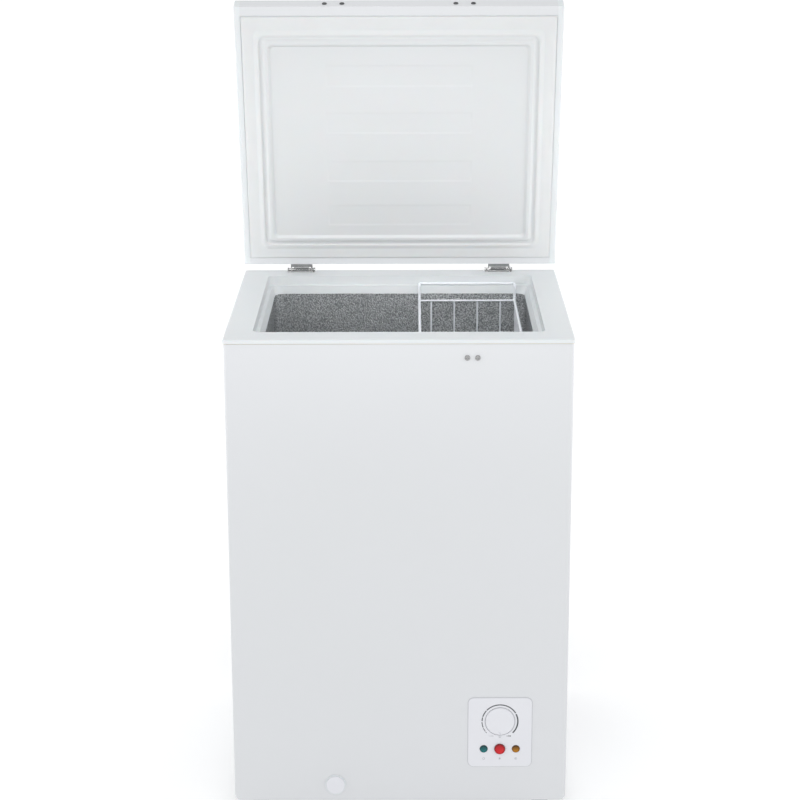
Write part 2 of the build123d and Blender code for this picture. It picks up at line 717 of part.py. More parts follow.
floor_ring = closed_tube([(basket_left, end_front, basket_floor), (basket_right, end_front, basket_floor),
                          (basket_right, end_back, basket_floor), (basket_left, end_back, basket_floor)],
                         end_wire, 6.0)
save("basket_frame", carrying_wire() + end_bar(end_front) + end_bar(end_back))
save("basket_floor_ring", floor_ring)

wall_low, wall_high = basket_floor + end_wire, basket_rim - end_wire
floor_wire_z = basket_floor + end_wire + thin_wire
long_wire_x = [54.7 + 40.3 * number for number in range(4)]
cross_wire_y = [end_front + (end_back - end_front) * (number + 0.5) / 9 for number in range(9)]
wall_wires, floor_wires = [], []
for x in long_wire_x:
    for y in (end_front, end_back):
        wall_wires.append(upright(x, y, wall_low, wall_high, thin_wire))
    floor_wires.append(lengthwise(x, floor_wire_z, end_front + thin_wire, end_back - thin_wire, thin_wire))
for y in cross_wire_y:
    for x in (basket_left, basket_right):
        wall_wires.append(upright(x, y, wall_low, basket_rim - thick_wire, thin_wire))
    floor_wires.append(crosswise(y, floor_wire_z + 2 * thin_wire + running, basket_left + thin_wire,
                                 basket_right - thin_wire, thin_wire))
save("basket_wall_wires", wall_wires)
save("basket_floor_wires", floor_wires)
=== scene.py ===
import math

import bmesh
import bpy
from mathutils import Matrix, Vector


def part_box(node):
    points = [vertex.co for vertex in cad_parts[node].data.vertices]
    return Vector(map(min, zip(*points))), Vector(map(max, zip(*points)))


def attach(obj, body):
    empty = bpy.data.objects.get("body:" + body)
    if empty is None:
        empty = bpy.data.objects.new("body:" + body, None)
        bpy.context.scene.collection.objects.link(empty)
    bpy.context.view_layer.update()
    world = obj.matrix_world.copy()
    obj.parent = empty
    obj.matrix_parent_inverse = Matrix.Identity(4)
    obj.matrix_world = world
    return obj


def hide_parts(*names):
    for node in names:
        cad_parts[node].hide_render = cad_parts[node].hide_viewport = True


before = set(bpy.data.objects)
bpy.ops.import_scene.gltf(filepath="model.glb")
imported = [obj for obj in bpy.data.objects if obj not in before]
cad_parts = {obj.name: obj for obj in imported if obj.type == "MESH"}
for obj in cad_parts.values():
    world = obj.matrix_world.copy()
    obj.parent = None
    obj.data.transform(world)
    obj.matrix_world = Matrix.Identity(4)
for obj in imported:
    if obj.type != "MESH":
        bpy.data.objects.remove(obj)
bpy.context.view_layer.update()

scene = bpy.context.scene
scene.view_settings.view_transform = "Standard"
scene.view_settings.look = "None"

# ---- The camera: a long lens in front of the freezer and above its top, looking down into the open tub.
# The lens and the sensor's width are in millimetres, the place in metres, the three turns in degrees.
camera_place = (0.01558, -3.42594, 1.61951)
camera_data = bpy.data.cameras.new("camera")
camera_data.sensor_width = 36.0
camera_data.lens = 95.06
camera_data.clip_end = 200.0   # past the far edge of the floor
camera = bpy.data.objects.new("camera", camera_data)
scene.collection.objects.link(camera)
look_down, turn, tilt = math.radians(16.094), math.radians(0.2524), math.radians(-0.1671)
camera.matrix_world = (
    Matrix.Translation(camera_place)
    @ Matrix.Rotation(turn, 4, "Z")
    @ Matrix.Rotation(math.pi / 2 - look_down, 4, "X")
    @ Matrix.Rotation(tilt, 4, "Z")
)
scene.camera = camera

# ---- The studio: a white sweep lit from below like a light table, a soft sky, and three soft boxes.
# The even light from all round is what makes a white appliance show its shape only in its creases.
def linear(hex_colour):
    """An sRGB hex colour as the linear RGBA that a shader socket takes."""
    channels = [int(hex_colour[i:i + 2], 16) / 255 for i in (1, 3, 5)]
    return tuple(c / 12.92 if c <= 0.04045 else ((c + 0.055) / 1.055) ** 2.4 for c in channels) + (1.0,)


def add(owner, kind, out=0, **settings):
    """Adds one node: lower-case settings are attributes, others are sockets by name, or by number as in i6."""
    node = owner.node_tree.nodes.new("ShaderNode" + kind)
    for name, value in settings.items():
        if name.islower() and not name[1:].isdigit():
            setattr(node, name, value)
            continue
        socket = node.inputs[int(name[1:]) if name[1:].isdigit() else name.replace("_", " ")]
        if isinstance(value, bpy.types.NodeSocket):
            owner.node_tree.links.new(value, socket)
        else:
            socket.default_value = value
    return node.outputs[out] if node.outputs else None


def new_finish(name):
    """An empty material and the object's own coordinates, in metres."""
    material = bpy.data.materials.new(name)
    material.use_nodes = True
    material.node_tree.nodes.clear()
    return material, add(material, "TexCoord", out="Object")


sweep, place = new_finish("white_studio_sweep")
mottle = add(sweep, "TexNoise", Vector=place, Scale=1.5, Detail=3.0)
sweep_colour = add(sweep, "Mix", out=2, data_type="RGBA", i0=mottle, i6=linear("#FAFAFA"), i7=linear("#FFFFFF"))
add(sweep, "OutputMaterial", Surface=add(
    sweep, "BsdfPrincipled", Base_Color=sweep_colour, Roughness=0.9, Specular_IOR_Level=0.1,
    Emission_Color=(1.0, 1.0, 1.0, 1.0), Emission_Strength=0.17))
bpy.ops.object.select_all(action="DESELECT")
floor_size = 120   # metres, so that its far edge is the horizon
bpy.ops.mesh.primitive_plane_add(size=floor_size, location=(0, 0, 0))
floor = bpy.context.object
floor.name = "studio_floor"
floor.data.materials.append(sweep)

sky = bpy.data.worlds.new("soft_sky")
sky.use_nodes = True
sky.node_tree.nodes.clear()
horizon_light, zenith_light = 1.02, 0.89
height = add(sky, "SeparateXYZ", out="Z", Vector=add(sky, "TexCoord", out="Generated"))
strength = add(sky, "MapRange", Value=height, i1=0.0, i2=1.0, i3=horizon_light, i4=zenith_light)
add(sky, "OutputWorld", Surface=add(sky, "Background", Color=(0.985, 0.992, 1.0, 1.0), Strength=strength))
scene.world = sky

# Name, place, aim, width, height, watts and spread in degrees. The side boxes stand level with the lid, so far
# round that they only graze the cabinet's front; the front one fills the foot of the lid and the tub's rear wall.
soft_boxes = [("left_soft_box", (-1.3, -0.42, 0.92), (0, 0.2, 0.84), 0.6, 0.5, 0.55, 60),
              ("right_soft_box", (1.3, -0.42, 0.92), (0, 0.2, 0.84), 0.6, 0.5, 0.55, 60),
              ("front_soft_box", (0, -1.9, 1.75), (0, 0.24, 0.91), 0.6, 0.3, 0.28, 23)]
for name, lamp_place, lamp_aim, width, depth, watts, spread in soft_boxes:
    light = bpy.data.lights.new(name, "AREA")
    light.shape, light.size, light.size_y, light.energy = "RECTANGLE", width, depth, watts
    light.spread = math.radians(spread)
    lamp = bpy.data.objects.new(name, light)
    scene.collection.objects.link(lamp)
    lamp.visible_camera = False
    turn = (Vector(lamp_aim) - Vector(lamp_place)).to_track_quat("-Z", "Y")
    lamp.matrix_world = Matrix.Translation(lamp_place) @ turn.to_matrix().to_4x4()

# ---- Cabinet wrapper and lid skin: pre-painted sheet steel, folded, with baked white polyester powder on it.
# The eye sees a satin white that is nearly one colour, with a very fine orange peel that blurs reflections.
powder, place = new_finish("powder_coated_steel")
broad = add(powder, "TexNoise", Vector=place, Scale=2.5, Detail=2.0)
powder_colour = add(powder, "Mix", out=2, data_type="RGBA", i0=broad, i6=linear("#DADCDD"), i7=linear("#DDDEE1"))
orange_peel = add(powder, "TexNoise", Vector=place, Scale=380.0, Detail=2.0)   # ripples 2.6 mm apart
powder_gloss = add(powder, "MapRange", Value=orange_peel, i3=0.36, i4=0.48)
add(powder, "OutputMaterial", Surface=add(
    powder, "BsdfPrincipled", Base_Color=powder_colour, IOR=1.5, Roughness=powder_gloss, Specular_IOR_Level=0.35,
    Normal=add(powder, "Bump", Height=orange_peel, Strength=0.08, Distance=0.0003)))


def give(material, *names):
    """Puts a finish on CAD parts."""
    for name in names:
        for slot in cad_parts[name].material_slots:
            slot.material = material


give(powder, "outer_shell", "lid_skin")

# ---- Top frame, drain tube and lid side caps: injection-moulded high-impact polystyrene.
# From a polished mould, so smoother than the paint beside it, and a touch bluer; it lets a little light in.
polystyrene, place = new_finish("moulded_polystyrene")
flow = add(polystyrene, "TexNoise", Vector=place, Scale=7.0, Detail=3.0, Distortion=0.6)
styrene_colour = add(
    polystyrene, "Mix", out=2, data_type="RGBA", i0=flow, i6=linear("#DDE1E3"), i7=linear("#E2E5E6"))
mould_grain = add(polystyrene, "TexNoise", Vector=place, Scale=1300.0, Detail=2.0)   # grain 0.8 mm across
styrene_gloss = add(polystyrene, "MapRange", Value=mould_grain, i3=0.34, i4=0.46)
add(polystyrene, "OutputMaterial", Surface=add(
    polystyrene, "BsdfPrincipled", Base_Color=styrene_colour, IOR=1.55, Roughness=styrene_gloss,
    Specular_IOR_Level=0.35, Subsurface_Weight=0.05, Subsurface_Scale=0.002,
    Normal=add(polystyrene, "Bump", Height=mould_grain, Strength=0.06, Distance=0.0002)))
give(polystyrene, "top_frame", "lid_side_cap_left", "lid_side_cap_right", "drain_tube")

# ---- Tub: 0.8 mm aluminium sheet, rolled with a stucco pattern before it is folded and seamed.
# The pattern is a maze of short ridges about 2 mm apart; its bright flecks are painted highlights on the crests, with
# painted shade in the hollows.
stucco, place = new_finish("stucco_embossed_aluminium")
bent = add(stucco, "TexNoise", out="Color", Vector=place, Scale=240.0, Detail=1.0)
meander = (0.004, 0.004, 0.004)   # how far the ridges wander from straight
shifted = add(stucco, "VectorMath", operation="MULTIPLY_ADD", i0=bent, i1=meander, i2=place)
ridges = add(stucco, "TexNoise", Vector=shifted, Scale=500.0, Detail=1.0, Roughness=0.4)   # 2 mm apart
crests = add(stucco, "MapRange", Value=ridges, i1=0.40, i2=0.62, i3=0.0, i4=1.0)
# Crests painted lighter as painted highlights, hollows darker as painted shade.
stucco_painted_highlight_colour = add(stucco, "Mix", out=2, data_type="RGBA", i0=crests, i6=linear("#95989A"), i7=linear("#DCDEDF"))
stucco_gloss = add(stucco, "MapRange", Value=crests, i3=0.55, i4=0.28)
add(stucco, "OutputMaterial", Surface=add(
    stucco, "BsdfPrincipled", Base_Color=stucco_painted_highlight_colour, Metallic=0.85, Roughness=stucco_gloss,
    Normal=add(stucco, "Bump", Height=ridges, Strength=0.55, Distance=0.0018)))
give(stucco, "inner_liner")

# ---- Lid inner panel: white polystyrene sheet, 1.5 mm thick, vacuum-formed and held by the lid's folded skin.
# Its middle stands 8 mm proud behind a rounded rim, and four wide shallow bands pressed in stiffen it.
# The lid is modelled shut, then turned about the hinge pin to where it rests.
lid_back = 0.216318       # the closed lid's rear edge
panel_plane = 0.8091      # the panel's flat border, on the lid's lower side
sheet_thickness = 0.0015
pin_low, pin_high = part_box("hinge_pins")
pin = (pin_low + pin_high) / 2
lid_angle = math.radians(75.93)


def start_outline(name, ring):
    """A rectangle, lying flat: half its width, its front and back, and its height."""
    half, front, back, level = ring
    bpy.ops.object.select_all(action="DESELECT")
    bpy.ops.mesh.primitive_plane_add(size=1, location=(0, (front + back) / 2, level))
    piece = bpy.context.object
    piece.name = name
    piece.scale = (2 * half, back - front, 1)
    bpy.ops.object.transform_apply(location=True, rotation=True, scale=True)
    bpy.ops.object.mode_set(mode="EDIT")
    return piece


def next_outline(old, new):
    """Extrudes the selected outline and brings the new one to its own width, front, back and height."""
    old_middle, new_middle = (old[1] + old[2]) / 2, (new[1] + new[2]) / 2
    bpy.ops.mesh.extrude_edges_move()
    bpy.ops.transform.resize(value=(new[0] / old[0], (new[2] - new[1]) / (old[2] - old[1]), 1),
                             center_override=(0, old_middle, old[3]))
    bpy.ops.transform.translate(value=(0, new_middle - old_middle, new[3] - old[3]))


def turn_open(piece):
    """Turns a piece modelled on the shut lid to the resting lid."""
    bpy.ops.object.mode_set(mode="EDIT")
    bpy.ops.mesh.select_all(action="SELECT")
    bpy.ops.transform.rotate(value=lid_angle, orient_axis="X", center_override=pin)
    bpy.ops.object.mode_set(mode="OBJECT")


# Outlines of the raised middle, from its sunk field out to the flat border: how far inside the base, and how high.
panel_base = (0.2315, -0.205582, 0.173418)   # half its width, its front and its back
panel_steps = [(0.0163, 0.0046), (0.0156, 0.0048), (0.0121, 0.0077), (0.0113, 0.0080), (0.0070, 0.0080),
               (0.0060, 0.0075), (0.0030, 0.0041), (0.0020, 0.0037), (-0.0040, 0.0035), (-0.0050, 0.0)]
panel_rings = [(panel_base[0] - inset, panel_base[1] + inset, panel_base[2] - inset, panel_plane - rise)
               for inset, rise in panel_steps]
panel = start_outline("lid_panel", panel_rings[0])
field_corner = 0.007
bpy.ops.mesh.bevel(affect="VERTICES", offset=field_corner, segments=6)
bpy.ops.mesh.select_all(action="SELECT")
bpy.ops.mesh.flip_normals()
band_half, band_reach = 0.0205, 0.125   # half a band's width, and how far it runs each way from the middle
band_places = [lid_back - distance for distance in (0.354, 0.269, 0.180, 0.097)]
band_slope = ((0.0008, 0.0001), (0.0026, 0.0004), (0.0008, 0.0001))   # each step's run and drop, down to the floor
cuts = [((side * band_reach, 0, 0), (1, 0, 0)) for side in (-1, 1)]
cuts += [((0, y + side * band_half, 0), (0, 1, 0)) for y in band_places for side in (-1, 1)]
for point, normal in cuts:
    bpy.ops.mesh.select_all(action="SELECT")
    bpy.ops.mesh.bisect(plane_co=point, plane_no=normal)
bpy.ops.mesh.select_mode(type="FACE")
bpy.ops.mesh.select_all(action="DESELECT")
panel_mesh = bmesh.from_edit_mesh(panel.data)
for face in panel_mesh.faces:
    middle = face.calc_center_median()
    face.select = abs(middle.x) < band_reach and any(abs(middle.y - y) < band_half / 2 for y in band_places)
bmesh.update_edit_mesh(panel.data)
for run, drop in band_slope:
    bpy.ops.mesh.inset(thickness=run, depth=-drop, use_individual=True)
bpy.ops.mesh.select_all(action="DESELECT")
bpy.ops.mesh.select_mode(type="EDGE")
panel_mesh = bmesh.from_edit_mesh(panel.data)
for edge in panel_mesh.edges:
    edge.select = edge.is_boundary
bmesh.update_edit_mesh(panel.data)
for old, new in zip(panel_rings, panel_rings[1:]):
    next_outline(old, new)
bpy.ops.mesh.extrude_edges_move()
panel_mesh = bmesh.from_edit_mesh(panel.data)
border_half, border_front, border_back = 0.264, -0.257882, 0.215518
past_base = 0.0005
for vertex in panel_mesh.verts:
    if vertex.select:   # the rounded outline is drawn out to the square edge of the sheet
        if abs(vertex.co.x) > panel_base[0] + past_base:
            vertex.co.x = math.copysign(border_half, vertex.co.x)
        if vertex.co.y < panel_base[1] - past_base:
            vertex.co.y = border_front
        if vertex.co.y > panel_base[2] + past_base:
            vertex.co.y = border_back
bmesh.update_edit_mesh(panel.data)
bpy.ops.mesh.select_all(action="SELECT")
bpy.ops.mesh.remove_doubles(threshold=0.00001)
bpy.ops.mesh.normals_make_consistent(inside=False)
bpy.ops.object.mode_set(mode="OBJECT")
if max(panel.data.polygons, key=lambda face: face.area).normal.z > 0:
    panel.data.flip_normals()
wall = panel.modifiers.new("wall", "SOLIDIFY")
wall.thickness, wall.offset = sheet_thickness, -1.0
soft_edge = panel.modifiers.new("soft_edge", "BEVEL")
soft_edge.width, soft_edge.segments, soft_edge.limit_method = 0.0005, 2, "ANGLE"
soft_edge.angle_limit = math.radians(50)
bpy.ops.object.modifier_apply(modifier="wall")
bpy.ops.object.modifier_apply(modifier="soft_edge")
turn_open(panel)
bpy.ops.object.shade_smooth_by_angle(angle=math.radians(35))
level_shading = panel.modifiers.new("level_shading", "WEIGHTED_NORMAL")
level_shading.keep_sharp = True
bpy.ops.object.modifier_apply(modifier="level_shading")

formed_sheet, place = new_finish("vacuum_formed_polystyrene")
thinning = add(formed_sheet, "TexNoise", Vector=place, Scale=5.0, Detail=2.0, Distortion=0.4)
sheet_colour = add(
    formed_sheet, "Mix", out=2, data_type="RGBA", i0=thinning, i6=linear("#D5D8D8"), i7=linear("#D9DADC"))
haircell = add(formed_sheet, "TexNoise", Vector=place, Scale=900.0, Detail=2.0)   # matt grain, 1.1 mm
sheet_gloss = add(formed_sheet, "MapRange", Value=haircell, i3=0.42, i4=0.55)
add(formed_sheet, "OutputMaterial", Surface=add(
    formed_sheet, "BsdfPrincipled", Base_Color=sheet_colour, IOR=1.55, Roughness=sheet_gloss,
    Specular_IOR_Level=0.3, Subsurface_Weight=0.05, Subsurface_Scale=0.002,
    Normal=add(formed_sheet, "Bump", Height=haircell, Strength=0.05, Distance=0.0002)))
panel.data.materials.append(formed_sheet)
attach(panel, "lid")
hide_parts("lid_inner_panel")

# ---- Lid seal: extruded white PVC, welded into a ring and pushed into the lid's groove.
# A hollow bead with a magnet in it runs round the inside and turns its corners in a curve.
# The flat web under it has square corners, and ends outside in a thin lip.
seal_inner = (0.2340, -0.207682, 0.175318)   # half the seal's width, its front and its back, at its inside
seal_outer = (0.2626, -0.241482, 0.203318)   # and at its outside
bead_corner = 0.012
# Steps across the web and the bead: share of the way from inside to outside, and height on the shut lid.
web_steps = [(0.10, 0.8091), (0.10, 0.8058), (0.46, 0.8054), (0.86, 0.8052), (0.95, 0.8058), (0.99, 0.8070),
             (1.0, 0.8091)]
bead_steps = [(0.0, 0.8090), (0.0, 0.8045), (0.015, 0.8038), (0.05, 0.80335), (0.10, 0.8032), (0.15, 0.8034),
              (0.22, 0.8042), (0.30, 0.8052), (0.36, 0.8056), (0.37, 0.8090)]


def seal_strip(name, steps, corner):
    """A closed strip round the lid through the steps, its corners square or rounded."""
    rings = [tuple(a + (b - a) * share for a, b in zip(seal_inner, seal_outer)) + (level,) for share, level in steps]
    strip = start_outline(name, rings[0])
    if corner:
        bpy.ops.mesh.bevel(affect="VERTICES", offset=corner, segments=6)
    bpy.ops.mesh.select_all(action="SELECT")
    bpy.ops.mesh.delete(type="ONLY_FACE")
    bpy.ops.mesh.select_all(action="SELECT")
    for old, new in zip(rings, rings[1:]):
        next_outline(old, new)
    bpy.ops.mesh.select_mode(type="EDGE")
    strip_mesh = bmesh.from_edit_mesh(strip.data)
    for edge in strip_mesh.edges:
        edge.select = edge.is_boundary
    bmesh.update_edit_mesh(strip.data)
    bpy.ops.mesh.bridge_edge_loops()
    bpy.ops.mesh.select_all(action="SELECT")
    bpy.ops.mesh.normals_make_consistent(inside=False)
    bpy.ops.object.mode_set(mode="OBJECT")
    return strip


web = seal_strip("seal_web", web_steps, 0.0)
seal = seal_strip("lid_seal", bead_steps, bead_corner)
web.select_set(True)
seal.select_set(True)
bpy.context.view_layer.objects.active = seal
bpy.ops.object.join()
turn_open(seal)
bpy.ops.object.shade_smooth_by_angle(angle=math.radians(40))

soft_vinyl, place = new_finish("plasticised_pvc")
handling = add(soft_vinyl, "TexNoise", Vector=place, Scale=40.0, Detail=4.0)
vinyl_colour = add(soft_vinyl, "Mix", out=2, data_type="RGBA", i0=handling, i6=linear("#D8DADA"), i7=linear("#DDDEDF"))
vinyl_gloss = add(soft_vinyl, "MapRange", Value=handling, i3=0.45, i4=0.6)
add(soft_vinyl, "OutputMaterial", Surface=add(
    soft_vinyl, "BsdfPrincipled", Base_Color=vinyl_colour, IOR=1.53, Roughness=vinyl_gloss,
    Specular_IOR_Level=0.3, Subsurface_Weight=0.08, Subsurface_Scale=0.002,
    Normal=add(soft_vinyl, "Bump", Height=handling, Strength=0.03, Distance=0.0005)))
seal.data.materials.append(soft_vinyl)
give(soft_vinyl, "drain_plug")
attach(seal, "lid")
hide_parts("lid_gasket")

# ---- Hinges, pins and screws: pressed steel with bright nickel over it.
# Barrel plating leaves it a shiny grey, with fine scratches that smear what it reflects.
nickel, place = new_finish("nickel_plated_steel")
scratches = add(nickel, "TexNoise", Vector=place, Scale=600.0, Detail=5.0, Distortion=1.5)
nickel_colour = add(nickel, "Mix", out=2, data_type="RGBA", i0=scratches, i6=linear("#BDBDB9"), i7=linear("#85858A"))
nickel_gloss = add(nickel, "MapRange", Value=scratches, i3=0.10, i4=0.26)
add(nickel, "OutputMaterial", Surface=add(
    nickel, "BsdfPrincipled", Base_Color=nickel_colour, Metallic=1.0, Roughness=nickel_gloss,
    Normal=add(nickel, "Bump", Height=scratches, Strength=0.15, Distance=0.0002)))
give(nickel, "hinge_bases", "hinge_leaves", "hinge_pins", "hinge_base_screws", "hinge_leaf_screws",
     "catch_screws", "grille_screws")

# ---- Lid front screws: small pan heads that hold the front edge of the skin to its stiffener; their dark grey is painted shade, standing in for the shade of their recesses.
painted_recess_shade_metal, place = new_finish("steel_painted_recess_shade")
screw_mottle = add(painted_recess_shade_metal, "TexNoise", Vector=place, Scale=900.0, Detail=3.0)
# The dark grey of the screw heads is painted shade.
painted_recess_shade_colour = add(
    painted_recess_shade_metal, "Mix", out=2, data_type="RGBA", i0=screw_mottle, i6=linear("#4A4B4D"), i7=linear("#6A6B6C"))
add(painted_recess_shade_metal, "OutputMaterial", Surface=add(
    painted_recess_shade_metal, "BsdfPrincipled", Base_Color=painted_recess_shade_colour, Metallic=0.8,
    Roughness=add(painted_recess_shade_metal, "MapRange", Value=screw_mottle, i3=0.3, i4=0.5)))
give(painted_recess_shade_metal, "lid_front_screws")

# ---- Springs, spindle and compressor bolts: drawn and turned steel with a light oil film.
spring_steel, place = new_finish("drawn_spring_steel")
drawn = add(spring_steel, "TexNoise", Vector=place, Scale=500.0, Detail=3.0)
spring_colour = add(
    spring_steel, "Mix", out=2, data_type="RGBA", i0=drawn, i6=linear("#6F7173"), i7=linear("#8C8E8F"))
add(spring_steel, "OutputMaterial", Surface=add(
    spring_steel, "BsdfPrincipled", Base_Color=spring_colour, Metallic=1.0,
    Roughness=add(spring_steel, "MapRange", Value=drawn, i3=0.25, i4=0.45)))
give(spring_steel, "hinge_springs", "thermostat_spindle", "compressor_bolts")

# ---- Basket: welded steel wire dipped in white PVC powder and fused.
# The coat is glossy and bluish, and pools a little, so highlights along the wires waver.
coated_wire, place = new_finish("plastic_coated_wire")
pooling = add(coated_wire, "TexNoise", Vector=place, Scale=200.0, Detail=2.0)
wire_colour = add(coated_wire, "Mix", out=2, data_type="RGBA", i0=pooling, i6=linear("#EDF1F8"), i7=linear("#F6F8FB"))
add(coated_wire, "OutputMaterial", Surface=add(
    coated_wire, "BsdfPrincipled", Base_Color=wire_colour, IOR=1.5,
    Roughness=add(coated_wire, "MapRange", Value=pooling, i3=0.16, i4=0.3),
    Normal=add(coated_wire, "Bump", Height=pooling, Strength=0.2, Distance=0.0004)))
give(coated_wire, "basket_frame", "basket_floor_ring", "basket_wall_wires", "basket_floor_wires")

# ---- Control bezel, knob, drain cap and side louvre: injection-moulded ABS.
# A fine spark-eroded mould texture makes it an even matt white, a hair cooler than the painted steel.
moulded_abs, place = new_finish("moulded_abs")
spark = add(moulded_abs, "TexNoise", Vector=place, Scale=1800.0, Detail=3.0)   # texture 0.55 mm across
tone = add(moulded_abs, "TexNoise", Vector=place, Scale=14.0, Detail=1.0)
abs_colour = add(moulded_abs, "Mix", out=2, data_type="RGBA", i0=tone, i6=linear("#E1E2E7"), i7=linear("#E5E5E9"))
add(moulded_abs, "OutputMaterial", Surface=add(
    moulded_abs, "BsdfPrincipled", Base_Color=abs_colour, IOR=1.53, Specular_IOR_Level=0.35,
    Roughness=add(moulded_abs, "MapRange", Value=spark, i3=0.32, i4=0.44),
    Normal=add(moulded_abs, "Bump", Height=spark, Strength=0.08, Distance=0.0001)))
give(moulded_abs, "control_bezel", "thermostat_knob", "drain_cap", "side_grille")

# ---- Bezel shadow bead: a thin grey bead on the cabinet round the edge of the control bezel, as painted shade for the shadow line round the bezel.
bezel_low, bezel_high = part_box("control_bezel")
bezel_middle = (bezel_low + bezel_high) / 2
bezel_width, bezel_height = bezel_high.x - bezel_low.x, bezel_high.z - bezel_low.z
cabinet_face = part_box("outer_shell")[0].y
shadow_bead_width, shadow_bead_corner = 0.0011, 0.0106
shadow_bead_bed, shadow_bead_wall, shadow_bead_crown = 0.0002, 0.0004, 0.0003   # how deep it sits, its side's height, its crown's rise
bpy.ops.object.select_all(action="DESELECT")
bpy.ops.mesh.primitive_plane_add(size=1, location=(bezel_middle.x, cabinet_face + shadow_bead_bed, bezel_middle.z),
                                 rotation=(math.pi / 2, 0, 0))
shadow_bead = bpy.context.object
shadow_bead.name = "bezel_painted_shadow_bead"
shadow_bead.scale = (bezel_width + 2 * shadow_bead_width, bezel_height + 2 * shadow_bead_width, 1)
bpy.ops.object.transform_apply(location=True, rotation=True, scale=True)
bpy.ops.object.mode_set(mode="EDIT")
bpy.ops.mesh.bevel(affect="VERTICES", offset=shadow_bead_corner, segments=8)
bpy.ops.mesh.select_all(action="SELECT")
bpy.ops.mesh.extrude_region_move(TRANSFORM_OT_translate={"value": (0, -shadow_bead_wall, 0)})
bpy.ops.mesh.inset(thickness=shadow_bead_width / 3, depth=shadow_bead_crown)
bpy.ops.mesh.inset(thickness=shadow_bead_width * 2 / 3 + shadow_bead_bed, depth=0.0001)   # its flat top runs under the bezel
bpy.ops.mesh.inset(thickness=0.0001, depth=-0.0009)                           # and its inside goes down to the cabinet
bpy.ops.mesh.delete(type="FACE")
bpy.ops.mesh.select_all(action="SELECT")
bpy.ops.mesh.normals_make_consistent(inside=False)
bpy.ops.object.mode_set(mode="OBJECT")
bpy.ops.object.shade_smooth_by_angle(angle=math.radians(50))
# The bead's grey is painted shade: a grey ring standing where the bezel's edge throws a shadow line.
painted_shadow_bead_finish, place = new_finish("grey_painted_shadow_bead")
bead_cells = add(painted_shadow_bead_finish, "TexVoronoi", Vector=place, Scale=2500.0)   # cells 0.4 mm across
painted_shadow_colour = add(painted_shadow_bead_finish, "Mix", out=2, data_type="RGBA", i0=bead_cells, i6=linear("#D0D1D4"), i7=linear("#C3C4C8"))
add(painted_shadow_bead_finish, "OutputMaterial", Surface=add(
    painted_shadow_bead_finish, "BsdfPrincipled", Base_Color=painted_shadow_colour, Roughness=0.9,
    Normal=add(painted_shadow_bead_finish, "Bump", Height=bead_cells, Strength=0.3, Distance=0.0002)))
shadow_bead.data.materials.append(painted_shadow_bead_finish)
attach(shadow_bead, "cabinet")

# ---- Lamps and the fast-freeze button: clear coloured polycarbonate over a dark holder.
# Their colour is painted shade at the top and painted light at the foot, with painted shade darkest round the rim.
def colour_lens(name, part, dark, light, gloss):
    """Painted shade at the top, painted light at the foot, and painted shade darkest round the rim."""
    lens, place = new_finish(name)
    low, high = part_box(part)
    margin = 0.003   # of the lens, above and below, hidden behind the bezel
    level = add(lens, "SeparateXYZ", out="Z", Vector=place)
    # Painted shade at the top of the lens, painted light at its foot.
    painted_light_to_foot = add(lens, "MapRange", Value=level, i1=high.z - margin, i2=low.z + margin, i3=0.0, i4=1.0)
    body = add(lens, "Mix", out=2, data_type="RGBA", i0=painted_light_to_foot, i6=linear(dark), i7=linear(light))
    face = ((low.x + high.x) / 2, low.y, (low.z + high.z) / 2)
    radius = (high.x - low.x) / 2
    reach = add(lens, "VectorMath", out="Value", operation="DISTANCE", i0=place, i1=face)
    rim = add(lens, "MapRange", Value=reach, i1=radius * 0.5, i2=radius * 0.9, i3=0.0, i4=0.75)
    # The darker rim colour is painted shade.
    painted_rim_shade = tuple(channel * 0.3 for channel in linear(dark)[:3]) + (1.0,)
    lens_colour = add(lens, "Mix", out=2, data_type="RGBA", i0=rim, i6=body, i7=painted_rim_shade)
    ripple = add(lens, "TexNoise", Vector=place, Scale=500.0, Detail=1.0)
    add(lens, "OutputMaterial", Surface=add(
        lens, "BsdfPrincipled", Base_Color=lens_colour, IOR=1.58, Roughness=gloss, Specular_IOR_Level=0.25,
        Normal=add(lens, "Bump", Height=ripple, Strength=0.1, Distance=0.0002)))
    give(lens, part)


colour_lens("green_polycarbonate", "power_lamp_lens", "#0A3D41", "#1C7577", 0.16)
colour_lens("amber_polycarbonate", "run_lamp_lens", "#5A3806", "#B97A16", 0.16)
colour_lens("red_polycarbonate", "fast_freeze_button", "#B0141C", "#DA2A30", 0.22)

# ---- Printed marks: pad-printed ink on the bezel, drawn as a film 0.05 mm thick.
# A scale that thickens clockwise runs round the knob; small pictograms mark the ends and the three lamps.
knob_low, knob_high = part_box("thermostat_knob")
knob_middle = (knob_low + knob_high) / 2
bezel_face = bezel_low.y
film = 0.00005
scale_outside = 0.0302
# Start and end of each stretch in degrees clockwise from the top, and its width.
scale_stretches = [(-134, -128, 0.0009), (-126, -113, 0.0012), (-111, -92, 0.0015), (-88.5, -76, 0.0017),
                   (-73.5, -50, 0.0018), (-47.5, 60, 0.0019), (63.5, 134, 0.0023)]


